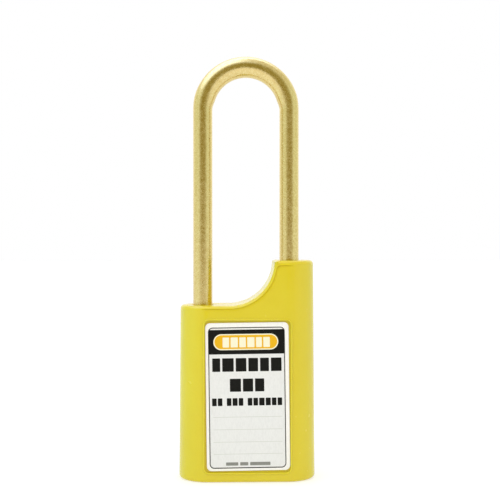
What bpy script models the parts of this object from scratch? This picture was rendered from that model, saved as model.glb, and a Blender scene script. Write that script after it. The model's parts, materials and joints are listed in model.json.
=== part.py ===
"""Safety padlock with a moulded plastic body and a long shackle of quarter-inch bar.

Run with: blender --background --python part.py
Frame: +Z up along the shackle, -Y is the labelled front, origin at the centre of the flat underside.
The shackle's toe leg is on the left (-X) and its heel leg, which stays in the body, on the right (+X).
Lengths below are in millimetres, and the meshes are made in metres.
"""

import math

import bmesh
import bpy
from mathutils import Matrix, Vector

MM = 0.001
SHARP_ANGLE = math.radians(35)
SOCKET_SIDES = 6

# General fits
FIT = 0.3
CUT_OVERRUN = 1.0

# Body shell
BODY_HALF_WIDTH = 22.2
BODY_HALF_WIDTH_TOP = 21.6
BODY_HALF_DEPTH = 10.0
BODY_CORNER = 9.5
LOW_SHOULDER = 56.5
HIGH_SHOULDER = 71.0
BLANK_TOP = HIGH_SHOULDER + 3.0
STEP_RADIUS = HIGH_SHOULDER - LOW_SHOULDER
STEP_WALL_X = 8.6
EDGE_ROUNDING = 1.2
SIDE_WALL = 2.0
FACE_WALL = 1.7

# Shackle
BAR_RADIUS = 3.15
BORE_RADIUS = BAR_RADIUS + FIT
TOE_X = -14.5
HEEL_X = 13.8
CLEARANCE = 74.2
BEND_SWELL = 0.28
BEND_SHIFT = 0.17
BEND_RAMP = math.radians(18)
TOE_TIP = 45.5
TOE_CHAMFER = 1.1
TOE_BORE_FLOOR = 38.0
HEEL_TIP = 26.0
HEEL_CHAMFER = 0.6
COLLAR_TOP = 29.5
NECK_TOP = 45.5
NECK_RADIUS = 2.0
NOTCH_DEPTH = 1.4

# Bottom cover and the rebate it sits in
COVER_THICKNESS = 2.4
COVER_GAP = 0.2
REBATE = 2.7
REBATE_HALF_WIDTH = BODY_HALF_WIDTH - SIDE_WALL
REBATE_HALF_DEPTH = BODY_HALF_DEPTH - FACE_WALL
REBATE_CORNER = BODY_CORNER - FACE_WALL
SPRING_SEAT = ((1.0, 2.9), (5.2, 2.9), (5.2, 1.5), (8.0, 1.5), (8.5, 1.0))
SPRING_SEAT_TOP = 5.2

# Hollow beside the core that keeps the moulding's walls even
RELIEF_X = (-18.9, -11.9)
RELIEF_HALF_DEPTH = 6.6
RELIEF_CORNER = 2.0
RELIEF_TOP = 36.0

# Core and its pocket
CORE_LEFT = -9.8
CORE_RIGHT = 8.4
CORE_HALF_DEPTH = 7.7
CORE_CORNER = 0.6
CORE_TOP = 51.8
CORE_FRONT_STEP = 28.4
CHAMBER_WALL = 1.2
CHAMBER_FLOOR = 29.2
CHAMBER_TOP = 50.4
CHAMBER_BACK = 5.0
CHAMBER_FRONT = -6.4
CHAMBER_LEFT = -1.9
LATCH_CHANNEL_FLOOR = 46.8
RIVET_BLOCK_TOP = 31.6
SPINE_SLOT_DEPTH = 1.4
SPINE_SLOT_HALF = 1.9
SPINE_SLOT_Z = (4.8, 25.2)

# Plug
PLUG_X = 1.6
PLUG_RADIUS = 5.0
PLUG_BORE = 5.15
PLUG_BOTTOM = 0.6
PLUG_CHAMFER = 0.4
PLUG_TOP = 27.7
KEYWAY_TOP = 26.2
TAIL_RADIUS = 2.6
TAIL_TOP = 31.3
TAIL_GROOVE_RADIUS = 2.1
TAIL_GROOVE_Z = (29.5, 30.3)
TANG_HALF = 1.5
TANG_TOP = 33.6
CLIP_INNER = 2.25
CLIP_OUTER = 3.3
CLIP_Z = (29.6, 30.2)
CLIP_OPENING = math.radians(38)

# Pins: the key pins' tips are their X, as the lock's key cuts would set them
PIN_RADIUS = 1.2
PIN_HOLE = 1.4
PIN_CHAMFER = 0.2
PIN_HOLE_END = 0.4
PIN_HEIGHTS = (7.0, 11.0, 15.0, 19.0, 23.0)
KEY_PIN_TIPS = (-0.4, -1.1, -0.7, -1.5, -0.9)
KEY_PIN_TIP_RADIUS = 0.35
KEY_PIN_CONE = 0.8
DRIVER_LENGTH = 2.35
SHEAR_LINE = PLUG_X - PLUG_RADIUS
SHEAR_GAP = 0.25
PIN_SPRING_RADIUS = 0.9
PIN_SPRING_WIRE = 0.14

# Cam
CAM_RADIUS = 2.9
CAM_NOSE = 0.9
CAM_NOSE_SHARPNESS = 1.6
CAM_BOTTOM = TAIL_TOP + 0.6
CAM_TOP = TANG_TOP + 0.4

# Latch
LATCH_HALF_DEPTH = 2.2
LATCH_LOW = 48.3
LATCH_HIGH = 49.5
LATCH_TIP = -12.5
LEG_LEFT = 5.0
LEG_RIGHT = 5.5
LEG_FOOT = 29.5
RIVET_Z = 30.3
RIVET_RADIUS = 0.6
RIVET_HEAD = 1.0

# Heel pin
HEEL_PIN_RADIUS = 1.2
HEEL_PIN_X = HEEL_X - NECK_RADIUS - HEEL_PIN_RADIUS - 0.1
HEEL_PIN_Z = 43.6
HEEL_PIN_Y = (-8.3, 9.1)
HEEL_PIN_CHAMFER = 0.3

# Shackle spring
SPRING_RADIUS = 2.3
SPRING_WIRE = 0.35

# Labels
RECESS_DEPTH = 0.6
RECESS_CENTRE = (0.0, 27.55)
RECESS_SIZE = (27.8, 49.0)
RECESS_CORNER = 1.7
LABEL_SIZE = (26.7, 47.4)
LABEL_CORNER = 1.6
LABEL_THICKNESS = 0.3
LABEL_GAP = 0.05
LABEL_TILT = math.radians(0.75)

# Screws: the two coordinates of each axis, across it
COVER_SCREWS = {"left": (-7.2, -5.0), "right": (6.4, 5.4)}
COVER_SCREW_THREAD = 1.0
CHAMBER_SCREWS = {"bottom": (-5.8, 32.5), "top": (-5.8, 43.5)}
CHAMBER_SCREW_THREAD = 0.85
CORE_SCREW = (-6.0, 38.0)
CORE_SCREW_THREAD = 1.1
CORE_SCREW_SEAT = 8.6
CAM_SCREW_THREAD = 0.8
THREAD_GAP = 0.15
CLEARANCE_GAP = 0.3


# ---------------------------------------------------------------- scene and materials


def clear_scene():
    for obj in list(bpy.data.objects):
        bpy.data.objects.remove(obj, do_unlink=True)


def material(name, color, roughness, metallic):
    made = bpy.data.materials.new(name)
    made.use_nodes = True
    shader = made.node_tree.nodes["Principled BSDF"]
    shader.inputs["Base Color"].default_value = (*color, 1.0)
    shader.inputs["Roughness"].default_value = roughness
    shader.inputs["Metallic"].default_value = metallic
    return made


FINISHES = {
    "yellow_nylon": ((0.76, 0.62, 0.04), 0.38, 0.0),
    "shackle_brass": ((0.72, 0.58, 0.25), 0.32, 1.0),
    "plug_brass": ((0.70, 0.55, 0.24), 0.35, 1.0),
    "pin_brass": ((0.74, 0.60, 0.30), 0.30, 1.0),
    "zinc": ((0.45, 0.46, 0.47), 0.45, 1.0),
    "steel": ((0.55, 0.55, 0.56), 0.30, 1.0),
    "spring_steel": ((0.38, 0.38, 0.40), 0.28, 1.0),
    "card": ((0.86, 0.86, 0.83), 0.45, 0.0),
}


# ---------------------------------------------------------------- mesh helpers


def place(u, v, w, axis):
    """A point of an outline (u, v) at height w along an axis, in metres."""
    if axis == "X":
        return Vector((w, u, v)) * MM
    if axis == "Y":
        return Vector((u, w, v)) * MM
    return Vector((u, v, w)) * MM


def ring_body(name, rings, finish=None):
    """One closed body through rings that have the same number of points, with a cap on each end."""
    mesh = bpy.data.meshes.new(name)
    bm = bmesh.new()
    loops = [[bm.verts.new(point) for point in ring] for ring in rings]
    for low, high in zip(loops, loops[1:]):
        for i in range(len(low)):
            j = (i + 1) % len(low)
            bm.faces.new((low[i], low[j], high[j], high[i]))
    bm.faces.new(loops[0])
    bm.faces.new(loops[-1])
    bmesh.ops.recalc_face_normals(bm, faces=bm.faces)
    bm.to_mesh(mesh)
    bm.free()
    mesh.shade_smooth()
    mesh.set_sharp_from_angle(angle=SHARP_ANGLE)
    obj = bpy.data.objects.new(name, mesh)
    bpy.context.scene.collection.objects.link(obj)
    if finish:
        obj.data.materials.append(material(name, *FINISHES[finish]))
    else:
        obj.hide_render = True
        obj.display_type = "WIRE"
    return obj


def prism(name, outline, axis, low, high, finish=None):
    rings = [[place(u, v, w, axis) for u, v in outline] for w in (low, high)]
    return ring_body(name, rings, finish)


def circle(centre, radius, sides):
    steps = (2 * math.pi * (i + 0.5) / sides for i in range(sides))
    return [(centre[0] + radius * math.cos(a), centre[1] + radius * math.sin(a)) for a in steps]


def rod(name, centre, radius, axis, low, high, sides=16, finish=None):
    return prism(name, circle(centre, radius, sides), axis, low, high, finish)


def turned(name, centre, profile, axis, sides=16, finish=None):
    """A turned piece: profile is a list of (height, radius) along the axis."""
    rings = [
        [place(u, v, w, axis) for u, v in circle(centre, radius, sides)] for w, radius in profile
    ]
    return ring_body(name, rings, finish)


def rectangle(u_low, u_high, v_low, v_high):
    return [(u_low, v_low), (u_high, v_low), (u_high, v_high), (u_low, v_high)]


def rounded_rectangle(u_low, u_high, v_low, v_high, radius, steps=4):
    corners = (
        (u_high - radius, v_high - radius),
        (u_low + radius, v_high - radius),
        (u_low + radius, v_low + radius),
        (u_high - radius, v_low + radius),
    )
    outline = []
    for quarter, (u, v) in enumerate(corners):
        for i in range(steps + 1):
            angle = math.pi / 2 * (quarter + i / steps)
            outline.append((u + radius * math.cos(angle), v + radius * math.sin(angle)))
    return outline


def coil(name, centre, radius, wire, axis, low, high, turns, steps, sides, finish):
    """A compression spring from low to high, its wire's ends included."""
    rings = []
    count = int(turns * steps)
    low, high = low + wire, high - wire
    for i in range(count + 1):
        angle = 2 * math.pi * i / steps
        across = Vector((math.cos(angle), math.sin(angle)))
        w = low + (high - low) * i / count
        ring = []
        for k in range(sides):
            around = 2 * math.pi * k / sides
            reach = radius + wire * math.cos(around)
            u = centre[0] + across.x * reach
            v = centre[1] + across.y * reach
            ring.append(place(u, v, w + wire * math.sin(around), axis))
        rings.append(ring)
    return ring_body(name, rings, finish)


def combine(obj, other, operation):
    modifier = obj.modifiers.new(f"{operation.lower()}_{other.name}", "BOOLEAN")
    modifier.operation = operation
    modifier.solver = "EXACT"
    modifier.object = other


def cut(obj, *cutters):
    for cutter in cutters:
        combine(obj, cutter, "DIFFERENCE")


def pivot(name, x):
    empty = bpy.data.objects.new(name, None)
    empty.location = (x * MM, 0, 0)
    bpy.context.scene.collection.objects.link(empty)
    return empty


def hang_on(empty, *pieces):
    """Puts each piece's origin on the joint's axis and parents it there."""
    for piece in pieces:
        piece.data.transform(Matrix.Translation(-empty.location))
        piece.parent = empty


def screw(name, centre, axis, head_outer, head_inner, tip, head_radius, shank_radius):
    """A screw whose head runs from head_outer to head_inner along the axis, with a six-sided socket."""
    inward = 1 if tip > head_outer else -1
    profile = [
        (head_outer, head_radius),
        (head_inner, head_radius),
        (head_inner, shank_radius),
        (tip - inward * shank_radius / 2, shank_radius),
        (tip, shank_radius / 2),
    ]
    made = turned(name, centre, profile, axis, finish="steel")
    socket_floor = head_outer + (head_inner - head_outer) * 0.6
    ends = sorted((head_outer - inward * CUT_OVERRUN, socket_floor))
    cut(made, rod(f"{name}_socket", centre, head_radius / 2, axis, *ends, sides=SOCKET_SIDES))
    return made


# ---------------------------------------------------------------- body shell and covers


def step_outline():
    """The front view of the body above its base: low shoulder, concave quarter round, high shoulder."""
    far = BODY_HALF_WIDTH + CUT_OVERRUN
    centre_x = STEP_WALL_X - STEP_RADIUS
    steps = 18
    outline = [(-far, -CUT_OVERRUN), (far, -CUT_OVERRUN)]
    outline += [(far, HIGH_SHOULDER), (STEP_WALL_X, HIGH_SHOULDER)]
    for i in range(1, steps + 1):
        angle = -math.pi / 2 * i / steps
        x = centre_x + STEP_RADIUS * math.cos(angle)
        outline.append((x, HIGH_SHOULDER + STEP_RADIUS * math.sin(angle)))
    outline.append((-far, LOW_SHOULDER))
    return outline


def body_blank():
    """A block with rounded upright corners that draws in slightly towards the top."""
    rings = []
    for height, half in ((0, BODY_HALF_WIDTH), (BLANK_TOP, BODY_HALF_WIDTH_TOP)):
        outline = rounded_rectangle(
            -half, half, -BODY_HALF_DEPTH, BODY_HALF_DEPTH, BODY_CORNER, steps=8
        )
        rings.append([place(u, v, height, "Z") for u, v in outline])
    return ring_body("body_shell", rings, "yellow_nylon")


def label_outline(size, corner, tilt=0.0):
    half_u, half_v = size[0] / 2, size[1] / 2
    turn = Matrix.Rotation(tilt, 2)
    outline = []
    for point in rounded_rectangle(-half_u, half_u, -half_v, half_v, corner, steps=5):
        turned_point = turn @ Vector(point)
        outline.append((turned_point.x + RECESS_CENTRE[0], turned_point.y + RECESS_CENTRE[1]))
    return outline


def round_outer_edges(shell):
    """Rounds the edges where the block's sides meet its underside, shoulders and step."""
    bevel = shell.modifiers.new("edge_rounding", "BEVEL")
    bevel.limit_method = "ANGLE"
    bevel.angle_limit = SHARP_ANGLE
    bevel.width = EDGE_ROUNDING * MM
    bevel.segments = 3
    bevel.use_clamp_overlap = False


def cut_inside(shell):
    """The rebate for the cover, the pockets, and the window that the latch reaches through."""
    rebate = rounded_rectangle(
        -REBATE_HALF_WIDTH, REBATE_HALF_WIDTH, -REBATE_HALF_DEPTH, REBATE_HALF_DEPTH, REBATE_CORNER
    )
    pocket_depth = CORE_HALF_DEPTH + FIT
    pocket = rounded_rectangle(
        CORE_LEFT - FIT, CORE_RIGHT + FIT, -pocket_depth, pocket_depth, CORE_CORNER + FIT
    )
    relief = rounded_rectangle(*RELIEF_X, -RELIEF_HALF_DEPTH, RELIEF_HALF_DEPTH, RELIEF_CORNER)
    window_half = LATCH_HALF_DEPTH + 0.4
    window = rectangle(-window_half, window_half, LATCH_LOW - 0.5, LATCH_HIGH + 0.6)
    inner_floor = REBATE - CUT_OVERRUN
    cut(
        shell,
        prism("cover_rebate", rebate, "Z", -CUT_OVERRUN, REBATE),
        prism("core_pocket", pocket, "Z", inner_floor, CORE_TOP + FIT),
        prism("relief_pocket", relief, "Z", inner_floor, RELIEF_TOP),
        prism("latch_window", window, "X", TOE_X + 2.5, CORE_LEFT + CUT_OVERRUN),
    )


def cut_holes(shell):
    """The shackle's two bores, and the holes for the heel pin and the core screw in the back."""
    outside = BODY_HALF_DEPTH + CUT_OVERRUN
    heel_top = HIGH_SHOULDER + CUT_OVERRUN
    toe_top = LOW_SHOULDER + CUT_OVERRUN
    pin_floor = HEEL_PIN_Y[0] - FIT
    pin_radius = HEEL_PIN_RADIUS + 0.1
    screw_radius = CORE_SCREW_THREAD + 0.4
    seat_radius = 2.5
    core_back = 5.0
    cut(
        shell,
        rod("heel_bore", (HEEL_X, 0), BORE_RADIUS, "Z", REBATE - CUT_OVERRUN, heel_top, sides=24),
        rod("toe_bore", (TOE_X, 0), BORE_RADIUS, "Z", TOE_BORE_FLOOR, toe_top, sides=24),
        rod("heel_pin_hole", (HEEL_PIN_X, HEEL_PIN_Z), pin_radius, "Y", pin_floor, outside),
        rod("core_screw_hole", CORE_SCREW, screw_radius, "Y", core_back, outside),
        rod("core_screw_seat", CORE_SCREW, seat_radius, "Y", CORE_SCREW_SEAT, outside),
    )


def make_body_shell():
    shell = body_blank()
    outside = BODY_HALF_DEPTH + CUT_OVERRUN
    combine(shell, prism("step_guide", step_outline(), "Y", -outside, outside), "INTERSECT")
    round_outer_edges(shell)
    cut_inside(shell)
    recess = label_outline(RECESS_SIZE, RECESS_CORNER)
    floor = BODY_HALF_DEPTH - RECESS_DEPTH
    cut(
        shell,
        prism("front_recess", recess, "Y", -outside, -floor),
        prism("back_recess", recess, "Y", floor, outside),
    )
    cut_holes(shell)


def make_bottom_cover():
    half_width = REBATE_HALF_WIDTH - COVER_GAP
    half_depth = REBATE_HALF_DEPTH - COVER_GAP
    corner = REBATE_CORNER - COVER_GAP
    outline = rounded_rectangle(-half_width, half_width, -half_depth, half_depth, corner)
    cover = prism("bottom_cover", outline, "Z", 0, COVER_THICKNESS, "yellow_nylon")
    combine(cover, turned("spring_seat", (HEEL_X, 0), SPRING_SEAT, "Z", sides=20), "UNION")
    through = (-CUT_OVERRUN, COVER_THICKNESS + CUT_OVERRUN)
    cut(cover, rod("plug_opening", (PLUG_X, 0), PLUG_RADIUS + FIT, "Z", *through, sides=32))
    head_radius, head_low, head_high, tip = 2.0, 0.1, 1.3, 9.0
    for side, centre in COVER_SCREWS.items():
        hole = COVER_SCREW_THREAD + CLEARANCE_GAP
        bore = head_radius + COVER_GAP
        cut(
            cover,
            rod(f"cover_hole_{side}", centre, hole, "Z", *through),
            rod(f"cover_counterbore_{side}", centre, bore, "Z", -CUT_OVERRUN, head_high + 0.1),
        )
        screw(
            f"cover_screw_{side}", centre, "Z", head_low, head_high, tip, head_radius, COVER_SCREW_THREAD
        )


def make_labels():
    outline = label_outline(LABEL_SIZE, LABEL_CORNER, LABEL_TILT)
    inner = BODY_HALF_DEPTH - RECESS_DEPTH + LABEL_GAP
    outer = inner + LABEL_THICKNESS
    prism("label_front", outline, "Y", -outer, -inner, "card")
    prism("label_back", outline, "Y", inner, outer, "card")


# ---------------------------------------------------------------- shackle


def shackle_ring(x, z, heading, radius, swell=0.0, sides=20):
    """A ring of points round the bar. heading is the bar's direction in the XZ plane.

    Swell is from 0 to 1: bending thickens the bar in the plane of the bow, more on its inner side.
    """
    across = Vector((math.sin(heading), 0, -math.cos(heading)))
    centre = Vector((x, 0, z)) + across * BEND_SHIFT * swell
    reach = radius + BEND_SWELL * swell
    ring = []
    for angle in (2 * math.pi * (i + 0.5) / sides for i in range(sides)):
        offset = across * reach * math.cos(angle) + Vector((0, 1, 0)) * radius * math.sin(angle)
        ring.append((centre + offset) * MM)
    return ring


def bend_swell(turn):
    """How far the bar has thickened at an angle of the bend, from 0 at its ends to 1 along its middle."""
    share = min(1.0, turn / BEND_RAMP, (math.pi - turn) / BEND_RAMP)
    return share * share * (3 - 2 * share)


def bow_rings():
    up = math.pi / 2
    bend = (HEEL_X - TOE_X) / 2
    arch_x = (HEEL_X + TOE_X) / 2
    inner_bend = bend - BAR_RADIUS - BEND_SWELL - BEND_SHIFT
    arch_z = LOW_SHOULDER + CLEARANCE - inner_bend
    steps = 28
    rings = []
    for i in range(steps + 1):
        turn = math.pi * i / steps
        x = arch_x - bend * math.cos(turn)
        z = arch_z + bend * math.sin(turn)
        rings.append(shackle_ring(x, z, up - turn, BAR_RADIUS, bend_swell(turn)))
    return rings


def make_shackle():
    up, down = math.pi / 2, -math.pi / 2
    rings = [
        shackle_ring(TOE_X, TOE_TIP, up, BAR_RADIUS - TOE_CHAMFER),
        shackle_ring(TOE_X, TOE_TIP + TOE_CHAMFER, up, BAR_RADIUS),
    ]
    rings += bow_rings()
    heel = (
        (NECK_TOP, BAR_RADIUS),
        (NECK_TOP, NECK_RADIUS),
        (COLLAR_TOP, NECK_RADIUS),
        (COLLAR_TOP, BAR_RADIUS),
        (HEEL_TIP + HEEL_CHAMFER, BAR_RADIUS),
        (HEEL_TIP, BAR_RADIUS - HEEL_CHAMFER),
    )
    rings += [shackle_ring(HEEL_X, z, down, radius) for z, radius in heel]
    shackle = ring_body("shackle", rings, "shackle_brass")
    near = TOE_X + BAR_RADIUS - NOTCH_DEPTH
    far = TOE_X + BAR_RADIUS + CUT_OVERRUN
    notch_low = LATCH_LOW - 0.2
    notch_high = LATCH_HIGH + 1.3
    ramp_top = notch_high + far - near
    notch = [(near, notch_low), (far, notch_low), (far, ramp_top), (near, notch_high)]
    reach = BAR_RADIUS + CUT_OVERRUN
    cut(shackle, prism("toe_notch", notch, "Y", -reach, reach))
    return shackle


def make_shackle_spring():
    low, high = SPRING_SEAT_TOP + 0.1, HEEL_TIP - 0.1
    coil(
        "shackle_spring",
        (HEEL_X, 0),
        SPRING_RADIUS,
        SPRING_WIRE,
        "Z",
        low,
        high,
        turns=7,
        steps=12,
        sides=6,
        finish="spring_steel",
    )


def make_heel_pin():
    low, high = HEEL_PIN_Y
    end_radius = HEEL_PIN_RADIUS - HEEL_PIN_CHAMFER
    profile = [
        (low, end_radius),
        (low + HEEL_PIN_CHAMFER, HEEL_PIN_RADIUS),
        (high - HEEL_PIN_CHAMFER, HEEL_PIN_RADIUS),
        (high, end_radius),
    ]
    turned("heel_pin", (HEEL_PIN_X, HEEL_PIN_Z), profile, "Y", finish="steel")


# ---------------------------------------------------------------- core, plug and pins


def chamber_outline():
    """The mechanism chamber seen from the front: an L, with a block at its lower right for the rivet."""
    left, right = CORE_LEFT + CHAMBER_WALL, CORE_RIGHT - CHAMBER_WALL
    leg_side = LEG_RIGHT + 0.1
    return [
        (CHAMBER_LEFT, CHAMBER_FLOOR),
        (leg_side, CHAMBER_FLOOR),
        (leg_side, RIVET_BLOCK_TOP),
        (right, RIVET_BLOCK_TOP),
        (right, CHAMBER_TOP),
        (left, CHAMBER_TOP),
        (left, LATCH_CHANNEL_FLOOR),
        (CHAMBER_LEFT, LATCH_CHANNEL_FLOOR),
    ]


def cut_chamber(core):
    """The plug's bore, the chamber above it, and the channel for the latch bar."""
    front = rectangle(
        CORE_LEFT - CUT_OVERRUN, CORE_RIGHT + CUT_OVERRUN, CORE_FRONT_STEP, CORE_TOP + CUT_OVERRUN
    )
    bar_half = LATCH_HALF_DEPTH + FIT
    bar_slot = rectangle(-bar_half, bar_half, LATCH_LOW - 0.4, LATCH_HIGH + 0.4)
    spine_slot = rectangle(-SPINE_SLOT_HALF, SPINE_SLOT_HALF, *SPINE_SLOT_Z)
    before = -BODY_HALF_DEPTH - CUT_OVERRUN
    bore = (0, PLUG_TOP + FIT)
    tail_bore = (PLUG_TOP - CUT_OVERRUN, CHAMBER_FLOOR + CUT_OVERRUN)
    outside = CORE_LEFT - CUT_OVERRUN
    rivet_end = CORE_RIGHT - 0.8
    cut(
        core,
        prism("cover_step", front, "Y", before, CHAMBER_FRONT),
        prism("chamber", chamber_outline(), "Y", before, CHAMBER_BACK),
        rod("plug_bore", (PLUG_X, 0), PLUG_BORE, "Z", *bore, sides=32),
        rod("tail_bore", (PLUG_X, 0), TAIL_RADIUS + 0.2, "Z", *tail_bore, sides=24),
        prism("spine_slot", spine_slot, "X", outside, CORE_LEFT + SPINE_SLOT_DEPTH),
        prism("bar_slot", bar_slot, "X", outside, CORE_LEFT + CHAMBER_WALL + 0.8),
        rod("rivet_hole", (0, RIVET_Z), RIVET_RADIUS + 0.2, "X", LEG_RIGHT - 0.5, rivet_end, sides=12),
    )


def make_lock_core():
    outline = rounded_rectangle(
        CORE_LEFT, CORE_RIGHT, -CORE_HALF_DEPTH, CORE_HALF_DEPTH, CORE_CORNER, steps=2
    )
    core = prism("lock_core", outline, "Z", REBATE, CORE_TOP, "zinc")
    cut_chamber(core)
    for number, height in enumerate(PIN_HEIGHTS, 1):
        ends = (CORE_LEFT + CUT_OVERRUN, PLUG_X)
        cut(core, rod(f"pin_chamber_{number}", (0, height), PIN_HOLE, "X", *ends, sides=14))
    thread = CORE_SCREW_THREAD + 0.2
    cut(core, rod("core_screw_thread", CORE_SCREW, thread, "Y", 2.0, CORE_HALF_DEPTH + CUT_OVERRUN))
    for side, centre in COVER_SCREWS.items():
        thread = COVER_SCREW_THREAD + THREAD_GAP
        cut(core, rod(f"cover_thread_{side}", centre, thread, "Z", 0, 9.5, sides=12))
    for side, centre in CHAMBER_SCREWS.items():
        thread = CHAMBER_SCREW_THREAD + 0.2
        cut(core, rod(f"chamber_thread_{side}", centre, thread, "Y", -9, -2.6, sides=12))


def keyway_outline():
    """A keyway with a groove on each side, seen along the plug."""
    return [
        (-2.4, -0.9),
        (-0.2, -0.9),
        (-0.2, -0.2),
        (1.4, -0.2),
        (1.4, -1.0),
        (5.2, -1.0),
        (5.2, 1.0),
        (3.6, 1.0),
        (3.6, 0.3),
        (2.2, 0.3),
        (2.2, 1.0),
        (-2.4, 1.0),
    ]


def make_plug():
    groove_low, groove_high = TAIL_GROOVE_Z
    profile = [
        (PLUG_BOTTOM, PLUG_RADIUS - PLUG_CHAMFER),
        (PLUG_BOTTOM + PLUG_CHAMFER, PLUG_RADIUS),
        (PLUG_TOP, PLUG_RADIUS),
        (PLUG_TOP, TAIL_RADIUS),
        (groove_low, TAIL_RADIUS),
        (groove_low, TAIL_GROOVE_RADIUS),
        (groove_high, TAIL_GROOVE_RADIUS),
        (groove_high, TAIL_RADIUS),
        (TAIL_TOP, TAIL_RADIUS),
    ]
    plug = turned("cylinder_plug", (PLUG_X, 0), profile, "Z", 32, "plug_brass")
    tang = rectangle(PLUG_X - TANG_HALF, PLUG_X + TANG_HALF, -TANG_HALF, TANG_HALF)
    combine(plug, prism("tang", tang, "Z", TAIL_TOP - CUT_OVERRUN, TANG_TOP), "UNION")
    thread = CAM_SCREW_THREAD + THREAD_GAP
    thread_ends = (28.6, TANG_TOP + CUT_OVERRUN)
    cut(
        plug,
        prism("keyway", keyway_outline(), "Z", -CUT_OVERRUN, KEYWAY_TOP),
        rod("cam_screw_thread", (PLUG_X, 0), thread, "Z", *thread_ends, sides=12),
    )
    for number, height in enumerate(PIN_HEIGHTS, 1):
        ends = (SHEAR_LINE - CUT_OVERRUN, PIN_HOLE_END)
        cut(plug, rod(f"plug_pin_hole_{number}", (0, height), PIN_HOLE, "X", *ends, sides=14))
    return plug


def key_pin_profile(tip):
    """A key pin from its flat end at the shear line to its cone, which would rest on the key."""
    top = SHEAR_LINE + SHEAR_GAP
    return [
        (top, PIN_RADIUS - PIN_CHAMFER),
        (top + PIN_CHAMFER, PIN_RADIUS),
        (tip - KEY_PIN_CONE, PIN_RADIUS),
        (tip, KEY_PIN_TIP_RADIUS),
    ]


def driver_pin_profile():
    end = SHEAR_LINE - SHEAR_GAP
    start = end - DRIVER_LENGTH
    return [
        (start, PIN_RADIUS - PIN_CHAMFER),
        (start + PIN_CHAMFER, PIN_RADIUS),
        (end - PIN_CHAMFER, PIN_RADIUS),
        (end, PIN_RADIUS - PIN_CHAMFER),
    ]


def make_pin_spring(number, centre):
    low = CORE_LEFT + SPINE_SLOT_DEPTH
    high = SHEAR_LINE - SHEAR_GAP - DRIVER_LENGTH - 0.1
    coil(
        f"pin_spring_{number}",
        centre,
        PIN_SPRING_RADIUS,
        PIN_SPRING_WIRE,
        "X",
        low,
        high,
        turns=3.5,
        steps=8,
        sides=4,
        finish="spring_steel",
    )


def make_pins():
    """The stacks of key pin, driver pin and spring. It returns the key pins, which turn with the plug."""
    key_pins = []
    for number, (height, tip) in enumerate(zip(PIN_HEIGHTS, KEY_PIN_TIPS), 1):
        centre = (0, height)
        key_pin = turned(f"key_pin_{number}", centre, key_pin_profile(tip), "X", 12, "pin_brass")
        turned(f"driver_pin_{number}", centre, driver_pin_profile(), "X", 12, "steel")
        make_pin_spring(number, centre)
        key_pins.append(key_pin)
    return key_pins


def make_spine_cap():
    """The strip that closes the row of pin chambers."""
    gap = 0.15
    half = SPINE_SLOT_HALF - gap
    low, high = SPINE_SLOT_Z
    strip = rounded_rectangle(-half, half, low + gap, high - gap, 0.4, steps=1)
    prism("spine_cap", strip, "X", CORE_LEFT + 0.05, CORE_LEFT + SPINE_SLOT_DEPTH - 0.1, "zinc")


def make_plug_clip():
    """An open ring in the groove of the plug's tail, with its gap towards the latch."""
    steps = 18
    sweep = 2 * (math.pi - CLIP_OPENING)
    angles = [CLIP_OPENING + sweep * i / steps for i in range(steps + 1)]
    outline = [(PLUG_X + CLIP_OUTER * math.cos(a), CLIP_OUTER * math.sin(a)) for a in angles]
    angles.reverse()
    outline += [(PLUG_X + CLIP_INNER * math.cos(a), CLIP_INNER * math.sin(a)) for a in angles]
    prism("plug_clip", outline, "Z", *CLIP_Z, "spring_steel")


# ---------------------------------------------------------------- cam and latch


def cam_outline():
    """A disc with a nose at -Y, which is the front at rest."""
    steps = 28
    outline = []
    for i in range(steps):
        angle = 2 * math.pi * i / steps
        off_nose = math.atan2(math.sin(angle + math.pi / 2), math.cos(angle + math.pi / 2))
        rise = math.cos(min(abs(off_nose) * CAM_NOSE_SHARPNESS, math.pi / 2))
        reach = CAM_RADIUS + CAM_NOSE * max(0.0, rise)
        outline.append((PLUG_X + reach * math.cos(angle), reach * math.sin(angle)))
    return outline


def make_cam():
    """The cam points to the front at rest, and to the latch after a quarter turn."""
    cam = prism("cam", cam_outline(), "Z", CAM_BOTTOM, CAM_TOP, "steel")
    half = TANG_HALF + 0.12
    socket = rectangle(PLUG_X - half, PLUG_X + half, -half, half)
    ends = (CAM_BOTTOM - CUT_OVERRUN, CAM_TOP + CUT_OVERRUN)
    cut(cam, prism("cam_socket", socket, "Z", *ends))
    head_outer, head_inner = TANG_TOP + 1.9, TANG_TOP + 0.5
    head_radius, tip = 2.4, 29.0
    cam_screw = screw(
        "cam_screw", (PLUG_X, 0), "Z", head_outer, head_inner, tip, head_radius, CAM_SCREW_THREAD
    )
    return [cam, cam_screw]


def make_latch():
    """A spring leg fixed at its foot, with a bar whose nose reaches into the shackle's toe notch."""
    outline = [
        (LEG_LEFT, LEG_FOOT),
        (LEG_RIGHT, LEG_FOOT),
        (LEG_RIGHT, LATCH_HIGH),
        (LATCH_TIP + 1.0, LATCH_HIGH),
        (LATCH_TIP, LATCH_LOW + 0.5),
        (LATCH_TIP, LATCH_LOW),
        (LEG_LEFT, LATCH_LOW),
    ]
    latch = prism("spring_latch", outline, "Y", -LATCH_HALF_DEPTH, LATCH_HALF_DEPTH, "spring_steel")
    hole = RIVET_RADIUS + THREAD_GAP
    ends = (LEG_LEFT - CUT_OVERRUN, LEG_RIGHT + CUT_OVERRUN)
    cut(latch, rod("foot_hole", (0, RIVET_Z), hole, "X", *ends, sides=12))


def make_latch_rivet():
    head_inner = LEG_LEFT - 0.1
    profile = [
        (head_inner - 0.5, RIVET_HEAD / 2),
        (head_inner - 0.3, RIVET_HEAD),
        (head_inner, RIVET_HEAD),
        (head_inner, RIVET_RADIUS),
        (CORE_RIGHT - 1.1, RIVET_RADIUS),
    ]
    turned("latch_rivet", (0, RIVET_Z), profile, "X", 12, "steel")


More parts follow.
